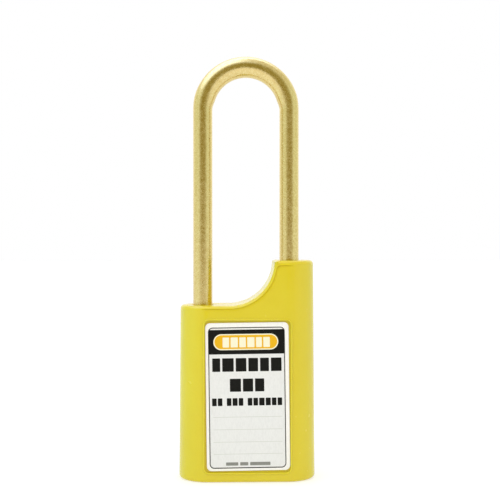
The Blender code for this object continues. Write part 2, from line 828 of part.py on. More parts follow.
def make_chamber_cover():
    """The plate that closes the chamber, and its two screws."""
    margin = 0.1
    plate = rounded_rectangle(
        CORE_LEFT + margin, CORE_RIGHT - margin, CORE_FRONT_STEP + 0.2, CORE_TOP - margin, 1.0, steps=2
    )
    face = -CORE_HALF_DEPTH
    cover = prism("chamber_cover", plate, "Y", face, CHAMBER_FRONT - 0.15, "steel")
    head_outer, head_inner, tip = -7.65, -7.15, -3.0
    head_radius = 1.7
    for side, centre in CHAMBER_SCREWS.items():
        hole = CHAMBER_SCREW_THREAD + 0.25
        bore = head_radius + COVER_GAP
        outside = face - CUT_OVERRUN
        cut(
            cover,
            rod(f"plate_hole_{side}", centre, hole, "Y", outside, CHAMBER_FRONT + CUT_OVERRUN),
            rod(f"plate_counterbore_{side}", centre, bore, "Y", outside, head_inner + 0.1),
        )
        name = f"chamber_screw_{side}"
        screw(name, centre, "Y", head_outer, head_inner, tip, head_radius, CHAMBER_SCREW_THREAD)


def make_core_screw():
    """The screw from the back that holds the core in the body."""
    head_outer, head_inner, tip = 9.35, 8.7, 2.6
    head_radius = 2.3
    screw("core_screw", CORE_SCREW, "Y", head_outer, head_inner, tip, head_radius, CORE_SCREW_THREAD)


def main():
    clear_scene()
    make_body_shell()
    make_bottom_cover()
    make_labels()
    hang_on(pivot("shackle_lift_axis", HEEL_X), make_shackle())
    make_shackle_spring()
    make_heel_pin()
    make_lock_core()
    make_spine_cap()
    make_plug_clip()
    turning = [make_plug(), *make_pins(), *make_cam()]
    hang_on(pivot("key_turn_axis", PLUG_X), *turning)
    make_latch()
    make_latch_rivet()
    make_chamber_cover()
    make_core_screw()


main()
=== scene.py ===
"""Looks of the safety padlock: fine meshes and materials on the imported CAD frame.

Lengths are in metres, except where a comment says millimetres.
"""

import json
import math

import bmesh
import bpy
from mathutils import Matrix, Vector


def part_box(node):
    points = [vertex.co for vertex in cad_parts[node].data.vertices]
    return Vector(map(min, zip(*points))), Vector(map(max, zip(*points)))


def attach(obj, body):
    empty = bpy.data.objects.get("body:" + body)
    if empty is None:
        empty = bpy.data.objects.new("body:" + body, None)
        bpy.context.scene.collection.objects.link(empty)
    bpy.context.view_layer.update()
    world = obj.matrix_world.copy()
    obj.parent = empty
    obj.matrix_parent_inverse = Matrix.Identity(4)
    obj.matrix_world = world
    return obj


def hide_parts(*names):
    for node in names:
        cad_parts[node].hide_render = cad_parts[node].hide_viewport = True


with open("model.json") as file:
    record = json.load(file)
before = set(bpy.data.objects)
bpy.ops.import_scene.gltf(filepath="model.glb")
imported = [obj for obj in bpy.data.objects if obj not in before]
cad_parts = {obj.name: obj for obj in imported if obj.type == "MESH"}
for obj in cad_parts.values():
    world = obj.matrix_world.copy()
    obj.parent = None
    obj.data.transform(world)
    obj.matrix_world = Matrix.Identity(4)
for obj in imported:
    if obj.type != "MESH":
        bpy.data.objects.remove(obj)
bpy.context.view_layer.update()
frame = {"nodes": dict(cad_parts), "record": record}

MM = 0.001
NODES = frame["nodes"]
MOUNTS = {mount["name"]: Vector(mount["pos_m"]) for mount in frame["record"]["mounts"]}

# ---------------------------------------------------------------- sizes taken from the frame
_, SHELL_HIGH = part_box("body_shell")
SHACKLE_LOW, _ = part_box("shackle")
COVER_LOW, COVER_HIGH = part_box("bottom_cover")
CORE_LOW, CORE_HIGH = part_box("lock_core")
LABEL_LOW, LABEL_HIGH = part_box("label_front")
PLUG_LOW, PLUG_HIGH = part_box("cylinder_plug")
HEEL_PIN_LOW, HEEL_PIN_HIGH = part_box("heel_pin")
CORE_SCREW_LOW, CORE_SCREW_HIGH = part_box("core_screw")
_, LATCH_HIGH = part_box("spring_latch")

HALF_WIDTH = SHELL_HIGH.x
HALF_DEPTH = SHELL_HIGH.y
HIGH_SHOULDER = SHELL_HIGH.z
LOW_SHOULDER = MOUNTS["low_shoulder"].z
STEP_RADIUS = HIGH_SHOULDER - LOW_SHOULDER
HEEL_TIP = SHACKLE_LOW.z
RECESS_HEIGHT = (LABEL_LOW.z + LABEL_HIGH.z) / 2
LABEL_FACE = -LABEL_LOW.y
CARD_THICKNESS = LABEL_HIGH.y - LABEL_LOW.y

# ---------------------------------------------------------------- sizes beyond the frame's boxes
HALF_WIDTH_TOP = HALF_WIDTH - 0.58 * MM
STEP_WALL_X = 8.6 * MM
STEP_CENTRE_X = STEP_WALL_X - STEP_RADIUS
STEP_FACETS = 56
BODY_CORNER = 9.5 * MM
EDGE_ROUNDING = 1.2 * MM

COVER_CORNER = BODY_CORNER - 1.9 * MM
COVER_GAP = 0.2 * MM
CORE_GAP = 0.3 * MM
CORE_CORNER = 0.9 * MM
WINDOW_HALF_WIDTH = 2.6 * MM
WINDOW_LOW, WINDOW_HIGH = 47.8 * MM, 50.1 * MM

BAR_RADIUS = 3.15 * MM
BORE_RADIUS = 3.45 * MM
TOE_BORE_FLOOR = 38 * MM
TOE_X = -14.5 * MM
HEEL_X = 13.8 * MM
CLEARANCE = 74.2 * MM
BEND_SWELL = 0.28 * MM
BEND_SHIFT = 0.17 * MM
BEND_RAMP = math.radians(18)
TOE_TIP = 45.5 * MM
TOE_CHAMFER = 1.1 * MM
HEEL_CHAMFER = 0.6 * MM
COLLAR_TOP = 29.5 * MM
NECK_TOP = 45.5 * MM
NECK_RADIUS = 2.0 * MM
NOTCH_LOW = LATCH_HIGH.z - 1.4 * MM
NOTCH_HIGH = LATCH_HIGH.z + 1.3 * MM
NOTCH_SLOPE = 1.5 * MM
NOTCH_FLOOR_X = TOE_X + 1.75 * MM

GROOVE_INSET = EDGE_ROUNDING - 0.15 * MM
GROOVE_DROP = 0.6 * MM
GROOVE_CORNER = 0.9 * MM

RECESS_DEPTH = 0.6 * MM
RECESS_SIZE = (27.8 * MM, 49.0 * MM)
RECESS_CORNER = 1.7 * MM
LABEL_TILT = math.radians(0.75)
CARD_SIZE = (26.7 * MM, 47.4 * MM)
CARD_CORNER = 1.6 * MM
CARD_EDGE = 0.06 * MM
PRINT_STEP = 0.02 * MM
PRINT_GAP = 0.002 * MM

FRONT, BACK = -1, 1
PAST = 1 * MM  # how far a cutter reaches past the face that it opens
MOUTH_ANGLES = (0.4, 0.8, 1.2, math.pi / 2)  # the facets of a rounded mouth
SHARP_EDGE = math.radians(32)


# ---------------------------------------------------------------- node helpers


def put(links, socket, value):
    """Links an input to another node, or gives it a number, a vector or a colour."""
    if isinstance(value, bpy.types.NodeSocket):
        links.new(value, socket)
    elif socket.type == "RGBA":
        socket.default_value = (*value, 1.0)
    else:
        socket.default_value = value


class Tree:
    """A material's node tree, with short calls for the nodes used here."""

    SHADER_INPUTS = {
        "color": "Base Color",
        "roughness": "Roughness",
        "metallic": "Metallic",
        "normal": "Normal",
        "ior": "IOR",
        "specular": "Specular IOR Level",
        "subsurface": "Subsurface Weight",
        "radius": "Subsurface Radius",
        "scatter": "Subsurface Scale",
        "coat": "Coat Weight",
        "coat_roughness": "Coat Roughness",
        "emission": "Emission Color",
        "emission_strength": "Emission Strength",
    }

    def __init__(self, name):
        self.material = bpy.data.materials.new(name)
        self.material.use_nodes = True
        self.nodes = self.material.node_tree.nodes
        self.links = self.material.node_tree.links
        self.shader = self.nodes["Principled BSDF"]
        self.place = self.nodes.new("ShaderNodeTexCoord").outputs["Object"]

    def scaled(self, scale, source=None):
        mapping = self.nodes.new("ShaderNodeMapping")
        mapping.inputs["Scale"].default_value = scale
        self.links.new(source or self.place, mapping.inputs["Vector"])
        return mapping.outputs["Vector"]

    def noise(self, scale, detail, roughness, source=None, distortion=0.0):
        node = self.nodes.new("ShaderNodeTexNoise")
        node.inputs["Scale"].default_value = scale
        node.inputs["Detail"].default_value = detail
        node.inputs["Roughness"].default_value = roughness
        node.inputs["Distortion"].default_value = distortion
        self.links.new(source or self.place, node.inputs["Vector"])
        return node.outputs["Fac"]

    def spread(self, value, low, high, to_low=0.0, to_high=1.0):
        node = self.nodes.new("ShaderNodeMapRange")
        node.interpolation_type = "SMOOTHSTEP"
        node.inputs["From Min"].default_value = low
        node.inputs["From Max"].default_value = high
        node.inputs["To Min"].default_value = to_low
        node.inputs["To Max"].default_value = to_high
        self.links.new(value, node.inputs["Value"])
        return node.outputs["Result"]

    def add(self, first, second):
        node = self.nodes.new("ShaderNodeMath")
        node.operation = "ADD"
        self.links.new(first, node.inputs[0])
        self.links.new(second, node.inputs[1])
        return node.outputs[0]

    def mix(self, factor, first, second):
        node = self.nodes.new("ShaderNodeMix")
        node.data_type = "RGBA"
        self.links.new(factor, node.inputs["Factor"])
        put(self.links, node.inputs["A"], first)
        put(self.links, node.inputs["B"], second)
        return node.outputs["Result"]

    def bump(self, height, strength, distance, under=None):
        node = self.nodes.new("ShaderNodeBump")
        node.inputs["Strength"].default_value = strength
        node.inputs["Distance"].default_value = distance
        self.links.new(height, node.inputs["Height"])
        if under:
            self.links.new(under, node.inputs["Normal"])
        return node.outputs["Normal"]

    def set(self, **values):
        for key, value in values.items():
            put(self.links, self.shader.inputs[self.SHADER_INPUTS[key]], value)
        return self.material


# ---------------------------------------------------------------- materials


def nylon():
    """Glossy moulded nylon: faint flow clouds, a fine spark-eroded grain, and patches rubbed dull."""
    deep, pale, speck = (0.68, 0.545, 0.013), (0.70, 0.57, 0.018), (0.57, 0.47, 0.012)
    tree = Tree("yellow_nylon")
    clouds = tree.noise(45, 3, 0.55, distortion=0.6)
    specks = tree.noise(1400, 3, 0.6)
    colour = tree.mix(tree.spread(clouds, 0.3, 0.7), deep, pale)
    colour = tree.mix(tree.spread(specks, 0.35, 0.75, 0.0, 0.10), colour, speck)
    rubbed = tree.noise(320, 4, 0.6)
    rough = tree.spread(clouds, 0.3, 0.7, 0.20, 0.25)
    rough = tree.add(rough, tree.spread(rubbed, 0.45, 0.75, 0.0, 0.04))
    grain = tree.noise(2600, 4, 0.6)
    waves = tree.noise(110, 2, 0.4)
    normal = tree.bump(waves, 0.10, 0.0004)
    normal = tree.bump(grain, 0.06, 0.00006, normal)
    return tree.set(
        color=colour,
        roughness=rough,
        normal=normal,
        ior=1.5,
        subsurface=0.12,
        radius=(1.0, 0.55, 0.08),
        scatter=0.0015,
    )


def bar_brass():
    """Satin drawn brass: draw lines along the bar, and a fine mottled grain with darker flecks."""
    dark, light = (0.70, 0.54, 0.22), (0.82, 0.68, 0.33)
    line, fleck = (0.64, 0.48, 0.17), (0.50, 0.38, 0.12)
    tree = Tree("shackle_brass")
    lay = tree.nodes.new("ShaderNodeUVMap")
    lay.uv_map = "bar"
    along = tree.scaled((2.2, 60.0, 1.0), lay.outputs["UV"])
    lines = tree.noise(9.0, 5, 0.65, along)
    mottle = tree.noise(1500, 4, 0.62)
    clouds = tree.noise(160, 3, 0.5)
    colour = tree.mix(tree.spread(mottle, 0.32, 0.68), dark, light)
    colour = tree.mix(tree.spread(lines, 0.35, 0.7, 0.0, 0.30), colour, line)
    flecks = tree.noise(2600, 2, 0.5)
    colour = tree.mix(tree.spread(flecks, 0.55, 0.72, 0.0, 0.45), colour, fleck)
    rough = tree.spread(mottle, 0.3, 0.7, 0.19, 0.27)
    rough = tree.add(rough, tree.spread(clouds, 0.4, 0.7, 0.0, 0.05))
    normal = tree.bump(mottle, 0.10, 0.00005)
    normal = tree.bump(lines, 0.05, 0.00004, normal)
    return tree.set(color=colour, roughness=rough, normal=normal, metallic=1.0)


def metal(name, dark, light, roughness, grain, lay=(1, 1, 1), strength=0.15):
    """A turned, cast or rolled metal: grain stretched by lay, and a roughness that follows it."""
    tree = Tree(name)
    source = tree.scaled(lay)
    fine = tree.noise(grain, 4, 0.6, source)
    broad = tree.noise(grain / 9, 3, 0.5)
    colour = tree.mix(tree.spread(fine, 0.3, 0.7), dark, light)
    colour = tree.mix(tree.spread(broad, 0.45, 0.8, 0.0, 0.3), colour, dark)
    rough = tree.spread(fine, 0.3, 0.7, roughness - 0.05, roughness + 0.07)
    normal = tree.bump(fine, strength, 0.00005)
    return tree.set(color=colour, roughness=rough, normal=normal, metallic=1.0)


def card(name, tone):
    """White card under a clear laminate: paper fibres in the colour, slow waves in the gloss."""
    tree = Tree(name)
    fibres = tree.noise(1.0, 5, 0.65, tree.scaled((2600, 2600, 900)))
    clouds = tree.noise(120, 2, 0.5)
    darker = tuple(0.93 * c for c in tone)
    colour = tree.mix(tree.spread(fibres, 0.35, 0.75), tone, darker)
    rough = tree.spread(clouds, 0.3, 0.7, 0.34, 0.42)
    normal = tree.bump(clouds, 0.12, 0.0002)
    return tree.set(color=colour, roughness=rough, normal=normal, coat=0.15, coat_roughness=0.25)


def ink(name, colour, paler):
    """Printed ink: a little of the card's fibre shows through."""
    tree = Tree(name)
    fibres = tree.noise(1.0, 5, 0.65, tree.scaled((2600, 2600, 900)))
    worn = tree.noise(700, 3, 0.6)
    shade = tree.mix(tree.spread(fibres, 0.4, 0.8, 0.0, 0.5), colour, paler)
    rough = tree.spread(worn, 0.3, 0.7, 0.38, 0.5)
    normal = tree.bump(fibres, 0.08, 0.00003)
    return tree.set(color=shade, roughness=rough, normal=normal, specular=0.12)


# ---------------------------------------------------------------- mesh helpers


def ring_mesh(name, rings, closed=False):
    """One surface through rings of equal count: capped at both ends, or closed on its first ring."""
    bm = bmesh.new()
    loops = [[bm.verts.new(point) for point in ring] for ring in rings]
    count = len(loops[0])
    following = loops[1:] + loops[:1] if closed else loops[1:]
    for low, high in zip(loops, following):
        for i in range(count):
            j = (i + 1) % count
            bm.faces.new((low[i], low[j], high[j], high[i]))
    if not closed:
        bm.faces.new(loops[0])
        bm.faces.new(loops[-1])
    bmesh.ops.recalc_face_normals(bm, faces=bm.faces)
    mesh = bpy.data.meshes.new(name)
    bm.to_mesh(mesh)
    bm.free()
    obj = bpy.data.objects.new(name, mesh)
    bpy.context.scene.collection.objects.link(obj)
    return obj


def place(u, v, w, axis):
    """The point at w along the axis, and at u and v along the other two."""
    if axis == "X":
        return Vector((w, u, v))
    if axis == "Y":
        return Vector((u, w, v))
    return Vector((u, v, w))


def prism(name, outline, axis, low, high):
    return ring_mesh(name, [[place(u, v, w, axis) for u, v in outline] for w in (low, high)])


def circle(centre, radius, sides):
    steps = (2 * math.pi * (i + 0.5) / sides for i in range(sides))
    return [(centre[0] + radius * math.cos(a), centre[1] + radius * math.sin(a)) for a in steps]


def turned(name, centre, profile, sides):
    """A solid turned about an upright axis, from pairs of height and radius."""
    rings = [[place(u, v, w, "Z") for u, v in circle(centre, r, sides)] for w, r in profile]
    return ring_mesh(name, rings)


def rounded_rectangle(u_low, u_high, v_low, v_high, radius, steps=8):
    corners = (
        (u_high - radius, v_high - radius),
        (u_low + radius, v_high - radius),
        (u_low + radius, v_low + radius),
        (u_high - radius, v_low + radius),
    )
    outline = []
    for quarter, (u, v) in enumerate(corners):
        for i in range(steps + 1):
            angle = math.pi / 2 * (quarter + i / steps)
            outline.append((u + radius * math.cos(angle), v + radius * math.sin(angle)))
    return outline


def box_outline(low, high, grow, radius, steps=8):
    """A node's box seen from above, grown by a gap and with rounded corners."""
    return rounded_rectangle(
        low.x - grow, high.x + grow, low.y - grow, high.y + grow, radius, steps
    )


def boolean(obj, operation, other):
    modifier = obj.modifiers.new(other.name, "BOOLEAN")
    modifier.operation = operation
    modifier.solver = "EXACT"
    modifier.object = other


def finish_mesh(obj, cutters=()):
    """Applies the modifiers, removes the cutters, and shades all but the sharp edges smooth."""
    for operation, cutter in cutters:
        boolean(obj, operation, cutter)
    graph = bpy.context.evaluated_depsgraph_get()
    mesh = bpy.data.meshes.new_from_object(obj.evaluated_get(graph), depsgraph=graph)
    obj.modifiers.clear()
    obj.data = mesh
    for _, cutter in cutters:
        bpy.data.objects.remove(cutter, do_unlink=True)
    mesh.shade_smooth()
    mesh.set_sharp_from_angle(angle=SHARP_EDGE)
    weighted = obj.modifiers.new("face_weighted_normals", "WEIGHTED_NORMAL")
    weighted.keep_sharp = True
    weighted.weight = 80


def dress(obj, material, body, replaced=()):
    obj.data.materials.clear()
    obj.data.materials.append(material)
    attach(obj, body)
    if replaced:
        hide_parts(*replaced)


# ---------------------------------------------------------------- body shell


def step_outline():
    """The stepped top seen from the front. Beside and below the body it stands well clear."""
    past = 5 * MM
    far = HALF_WIDTH + past
    outline = [(-far, -past), (far, -past), (far, HIGH_SHOULDER), (STEP_WALL_X, HIGH_SHOULDER)]
    for i in range(1, STEP_FACETS + 1):
        angle = -math.pi / 2 * i / STEP_FACETS
        x = STEP_CENTRE_X + STEP_RADIUS * math.cos(angle)
        outline.append((x, HIGH_SHOULDER + STEP_RADIUS * math.sin(angle)))
    outline.append((-far, LOW_SHOULDER))
    return outline


def recess_ring(grow, rise, facing):
    """The recess's outline grown outwards, at a height above the body's face."""
    half_u = RECESS_SIZE[0] / 2 + grow
    half_v = RECESS_SIZE[1] / 2 + grow
    outline = rounded_rectangle(-half_u, half_u, -half_v, half_v, RECESS_CORNER + grow)
    y = facing * (HALF_DEPTH + rise)
    return [Vector((u, y, v + RECESS_HEIGHT)) for u, v in outline]


def recess_cutter(name, facing):
    """The label recess, with its mouth rounded over."""
    lip = 0.15 * MM
    profile = [(0.0, -RECESS_DEPTH), (0.0, -lip)]
    profile += [(lip * (1 - math.cos(a)), lip * (math.sin(a) - 1)) for a in MOUTH_ANGLES]
    profile += [(lip, PAST)]
    return ring_mesh(name, [recess_ring(grow, rise, facing) for grow, rise in profile])


def make_recess_bead(side, facing, material):
    """The fine raised bead round the recess. Its flanks catch the light."""
    centre, half_width, height, sunk = 0.14 * MM, 0.32 * MM, 0.26 * MM, 0.08 * MM
    facets = 8
    section = [(centre + half_width, -sunk)]
    for i in range(facets + 1):
        angle = math.pi * i / facets
        section.append((centre + half_width * math.cos(angle), height * math.sin(angle)))
    section.append((centre - half_width, -sunk))
    rings = [recess_ring(grow, rise, facing) for grow, rise in section]
    bead = ring_mesh(f"recess_bead_{side}", rings, closed=True)
    finish_mesh(bead)
    dress(bead, material, "lock_body")


def bore_cutter(name, x, bottom, top):
    """A shackle hole whose mouth is rounded over."""
    lip = 0.4 * MM
    profile = [(bottom, BORE_RADIUS), (top - lip, BORE_RADIUS)]
    for a in MOUTH_ANGLES:
        profile.append((top - lip + lip * math.sin(a), BORE_RADIUS + lip * (1 - math.cos(a))))
    profile.append((top + PAST, BORE_RADIUS + lip))
    return turned(name, (x, 0), profile, 56)


def groove_path():
    """The line just below the rounding of the stepped top: x, z and heading of its points."""
    z_low = LOW_SHOULDER - GROOVE_INSET
    z_high = HIGH_SHOULDER - GROOVE_INSET - GROOVE_DROP
    radius = STEP_RADIUS + GROOVE_INSET
    path = [(-HALF_WIDTH, z_low, 0.0)]
    end = math.asin((HIGH_SHOULDER - z_high) / radius)
    for i in range(STEP_FACETS + 1):
        angle = -math.pi / 2 + (math.pi / 2 - end) * i / STEP_FACETS
        x = STEP_CENTRE_X + radius * math.cos(angle)
        path.append((x, HIGH_SHOULDER + radius * math.sin(angle), angle + math.pi / 2))
    x, z, heading = path[-1]
    z -= GROOVE_CORNER
    path[-1] = (x, z, heading)
    for turn in (0.25, 0.5, 0.75, 1.0):
        a = math.pi / 2 * turn
        corner_x = x + GROOVE_CORNER * (1 - math.cos(a))
        path.append((corner_x, z + GROOVE_CORNER * math.sin(a), math.pi / 2 - a))
    path.append((HALF_WIDTH, z_high, 0.0))
    return path


def groove_cutter(name, facing):
    """A fine groove along that line, steep above and sloping below."""
    upper, middle, lower, depth = 0.22 * MM, 0.08 * MM, 0.65 * MM, 0.36 * MM
    out = Vector((0, facing, 0))
    rings = []
    for x, z, heading in groove_path():
        normal = Vector((-math.sin(heading), 0, math.cos(heading)))
        centre = Vector((x, facing * HALF_DEPTH, z))
        rings.append(
            [
                centre + normal * upper,
                centre + normal * middle - out * depth,
                centre - normal * lower,
                centre + out * depth,
            ]
        )
    return ring_mesh(name, rings)


def moulded_blank():
    """The body before its holes: a tapering block cut to the stepped top, with rounded edges."""
    rings = []
    blank_top = HIGH_SHOULDER + 3 * MM
    for height, half in ((0, HALF_WIDTH), (blank_top, HALF_WIDTH_TOP)):
        outline = rounded_rectangle(-half, half, -HALF_DEPTH, HALF_DEPTH, BODY_CORNER, 20)
        rings.append([Vector((u, v, height)) for u, v in outline])
    shell = ring_mesh("moulded_body", rings)
    reach = HALF_DEPTH + 5 * MM
    guide = prism("step_guide", step_outline(), "Y", -reach, reach)
    boolean(shell, "INTERSECT", guide)
    bevel = shell.modifiers.new("edge_rounding", "BEVEL")
    bevel.limit_method = "ANGLE"
    bevel.angle_limit = math.radians(40)
    bevel.width = EDGE_ROUNDING
    bevel.segments = 6
    bevel.use_clamp_overlap = False
    return shell, guide


def make_body_shell(material):
    shell, guide = moulded_blank()
    rebate = box_outline(COVER_LOW, COVER_HIGH, COVER_GAP, COVER_CORNER + COVER_GAP)
    pocket = box_outline(CORE_LOW, CORE_HIGH, CORE_GAP, CORE_CORNER, 3)
    window = [
        (-WINDOW_HALF_WIDTH, WINDOW_LOW),
        (WINDOW_HALF_WIDTH, WINDOW_LOW),
        (WINDOW_HALF_WIDTH, WINDOW_HIGH),
        (-WINDOW_HALF_WIDTH, WINDOW_HIGH),
    ]
    window_start = TOE_X + 2.5 * MM
    heel_pin = ((HEEL_PIN_LOW.x + HEEL_PIN_HIGH.x) / 2, (HEEL_PIN_LOW.z + HEEL_PIN_HIGH.z) / 2)
    core_screw = (
        (CORE_SCREW_LOW.x + CORE_SCREW_HIGH.x) / 2,
        (CORE_SCREW_LOW.z + CORE_SCREW_HIGH.z) / 2,
    )
    # The holes sunk from behind: outline, and the y of the floor.
    pin_hole, pin_floor = circle(heel_pin, 1.3 * MM, 24), -8.6 * MM
    screw_hole, screw_floor = circle(core_screw, 1.5 * MM, 24), 5 * MM
    screw_seat, seat_floor = circle(core_screw, 2.5 * MM, 24), 8.6 * MM
    back = HALF_DEPTH + PAST
    cutters = (
        prism("rebate", rebate, "Z", -PAST, CORE_LOW.z),
        prism("pocket", pocket, "Z", CORE_LOW.z - PAST, CORE_HIGH.z + CORE_GAP),
        bore_cutter("heel_bore", HEEL_X, CORE_LOW.z - PAST, HIGH_SHOULDER),
        bore_cutter("toe_bore", TOE_X, TOE_BORE_FLOOR, LOW_SHOULDER),
        prism("window", window, "X", window_start, CORE_LOW.x + PAST),
        recess_cutter("front_recess", FRONT),
        recess_cutter("back_recess", BACK),
        groove_cutter("front_line", FRONT),
        groove_cutter("back_line", BACK),
        prism("pin_hole", pin_hole, "Y", pin_floor, back),
        prism("screw_hole", screw_hole, "Y", screw_floor, back),
        prism("screw_seat", screw_seat, "Y", seat_floor, back),
    )
    finish_mesh(shell, [("DIFFERENCE", cutter) for cutter in cutters])
    bpy.data.objects.remove(guide, do_unlink=True)
    dress(shell, material, "lock_body", ["body_shell"])


# ---------------------------------------------------------------- shackle


def bar_ring(sides, x, z, heading, radius, swell=0.0):
    """A ring round the bar. Bending thickens the bar in the bow's plane, more on its inner side."""
    across = Vector((math.sin(heading), 0, -math.cos(heading)))
    centre = Vector((x, 0, z)) + across * BEND_SHIFT * swell
    reach = radius + BEND_SWELL * swell
    ring = []
    for i in range(sides):
        angle = 2 * math.pi * (i + 0.5) / sides
        y = radius * math.sin(angle)
        ring.append(centre + across * reach * math.cos(angle) + Vector((0, y, 0)))
    return ring


def bend_swell(turn):
    share = min(1.0, turn / BEND_RAMP, (math.pi - turn) / BEND_RAMP)
    return share * share * (3 - 2 * share)


def shackle_stations():
    """The bar's sections from toe to heel: x, z, heading, radius and, in the bend, the swelling."""
    up, down = math.pi / 2, -math.pi / 2
    leg_steps, bend_steps = 12, 72
    bend = (HEEL_X - TOE_X) / 2
    arch_x = (HEEL_X + TOE_X) / 2
    arch_z = LOW_SHOULDER + CLEARANCE - (bend - BAR_RADIUS - BEND_SWELL - BEND_SHIFT)
    toe_leg = TOE_TIP + TOE_CHAMFER
    stations = []
    for a in (0.0, 0.3, 0.6, 0.9, 1.2, math.pi / 2):
        radius = BAR_RADIUS - TOE_CHAMFER * (1 - math.sin(a))
        stations.append((TOE_X, TOE_TIP + TOE_CHAMFER * (1 - math.cos(a)), up, radius))
    for i in range(1, leg_steps):
        stations.append((TOE_X, toe_leg + (arch_z - toe_leg) * i / leg_steps, up, BAR_RADIUS))
    for i in range(bend_steps + 1):
        turn = math.pi * i / bend_steps
        x = arch_x - bend * math.cos(turn)
        z = arch_z + bend * math.sin(turn)
        stations.append((x, z, up - turn, BAR_RADIUS, bend_swell(turn)))
    for i in range(1, leg_steps):
        stations.append((HEEL_X, arch_z + (NECK_TOP - arch_z) * i / leg_steps, down, BAR_RADIUS))
    for z, radius in (
        (NECK_TOP, BAR_RADIUS),
        (NECK_TOP, NECK_RADIUS),
        (COLLAR_TOP, NECK_RADIUS),
        (COLLAR_TOP, BAR_RADIUS),
        (HEEL_TIP + HEEL_CHAMFER, BAR_RADIUS),
        (HEEL_TIP, BAR_RADIUS - HEEL_CHAMFER),
    ):
        stations.append((HEEL_X, z, down, radius))
    return stations


def make_shackle(material):
    sides = 48
    stations = shackle_stations()
    bar = ring_mesh("bent_bar", [bar_ring(sides, *station) for station in stations])
    add_bar_map(bar.data, stations, sides)
    reach = 4 * MM
    notch = [
        (NOTCH_FLOOR_X, NOTCH_LOW),
        (TOE_X + reach, NOTCH_LOW),
        (TOE_X + reach, NOTCH_HIGH + NOTCH_SLOPE),
        (NOTCH_FLOOR_X, NOTCH_HIGH),
    ]
    finish_mesh(bar, [("DIFFERENCE", prism("toe_notch", notch, "Y", -reach, reach))])
    dress(bar, material, "shackle", ["shackle"])


def add_bar_map(mesh, stations, sides):
    """A UV map that runs along the bar in centimetres and once round it."""
    length = [0.0]
    for first, second in zip(stations, stations[1:]):
        length.append(length[-1] + math.dist(first[:2], second[:2]))
    layer = mesh.uv_layers.new(name="bar")
    for polygon in mesh.polygons:
        wraps = {mesh.loops[i].vertex_index % sides for i in polygon.loop_indices}
        seam = len(polygon.loop_indices) == 4 and 0 in wraps and sides - 1 in wraps
        for i in polygon.loop_indices:
            vertex = mesh.loops[i].vertex_index
            around = vertex % sides
            if seam and around == 0:
                around = sides
            layer.data[i].uv = (length[vertex // sides] * 100, around / sides)


# ---------------------------------------------------------------- bottom cover

# Turned shapes of the cover: pairs of height and radius in millimetres.
PLUG_MOUTH = ((-1, 5.8), (0, 5.8), (0.5, 5.3), (4, 5.3))
SPRING_SEAT = ((1.0, 2.9), (5.2, 2.9), (5.2, 1.5), (8.0, 1.5), (COVER_HIGH.z / MM, 1.0))
SCREW_MOUTH = ((-1, 2.4), (0, 2.4), (0.2, 2.2), (1.4, 2.2), (1.4, 1.3), (4, 1.3))


def in_metres(profile):
    return [(height * MM, radius * MM) for height, radius in profile]


def make_bottom_cover(material):
    rings = []
    chamfer, top = 0.35 * MM, 2.4 * MM
    for height, inset in ((0, chamfer), (chamfer, 0), (top, 0)):
        outline = box_outline(COVER_LOW, COVER_HIGH, -inset, COVER_CORNER - inset, 14)
        rings.append([Vector((u, v, height)) for u, v in outline])
    cover = ring_mesh("moulded_cover", rings)
    plug_x = (PLUG_LOW.x + PLUG_HIGH.x) / 2
    cutters = [
        ("UNION", turned("spring_seat", (HEEL_X, 0), in_metres(SPRING_SEAT), 32)),
        ("DIFFERENCE", turned("plug_mouth", (plug_x, 0), in_metres(PLUG_MOUTH), 64)),
    ]
    for side in ("left", "right"):
        low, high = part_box(f"cover_screw_{side}")
        centre = ((low.x + high.x) / 2, (low.y + high.y) / 2)
        mouth = turned(f"screw_mouth_{side}", centre, in_metres(SCREW_MOUTH), 40)
        cutters.append(("DIFFERENCE", mouth))
    finish_mesh(cover, cutters)
    dress(cover, material, "lock_body", ["bottom_cover"])


# ---------------------------------------------------------------- labels

# The print in millimetres from the card's middle: left, right, low, high, corner radius, corner steps.
PANEL = (-12.1, 11.75, -22.5, 21.45, 1.0, 6)
BORDER_OUTER = (-12.42, 12.1, -22.9, 22.25, 1.45, 8)
BORDER_INNER = (-12.14, 11.82, -22.6, 21.97, 1.17, 8)
HEADER = (-12.2, 11.85, 13.67, 21.5, 0.12, 2)
PILL_OUTER = (-10.75, 10.0, 15.0, 20.12, 2.55, 14)
PILL_INNER = (-10.4, 9.65, 15.35, 19.77, 2.2, 14)
# Rows of blocks: name, relative widths, left, right, low, high, print layer, ink. A zero is a gap.
ROWS = (
    ("pill_mark", (1, 1.1, 1, 1.1, 0.9, 1), -7.8, 7.3, 15.85, 19.05, 5, "cream"),
    ("headline", (0.9, 1.3, 1.2, 1.1, 1, 1.2), -11.2, 10.95, 8.1, 12.4, 2, "black"),
    ("subline", (1.2, 1.1, 1.0), -5.65, 5.35, 1.65, 5.8, 2, "black"),
    ("footline", (1, 1, 0, 1, 1.1, 1, 0, 1, 1, 1.2, 1.1, 1, 1), -11.4, 11.0, -2.85, -0.4, 2, "black"),
    ("small", (3, 0, 2, 0, 5), -7.2, 7.0, -22.0, -20.95, 2, "grey"),
)
BLOCK_CORNER, BLOCK_STEPS = 0.18, 3
RULE_HEIGHTS = (-6.45, -10.45, -14.45, -18.3)
RULE_LEFT, RULE_RIGHT, RULE_HALF = -11.1, 11.0, 0.07
RULE_CORNER, RULE_STEPS = 0.03, 1


def label_point(u, v, rise, facing):
    """A point of the print, rise above the card's face, turned with the card and seen from outside."""
    cosine, sine = math.cos(LABEL_TILT), math.sin(LABEL_TILT)
    x = u * cosine - v * sine
    z = u * sine + v * cosine
    return Vector((-facing * x, facing * (LABEL_FACE + rise), z + RECESS_HEIGHT))


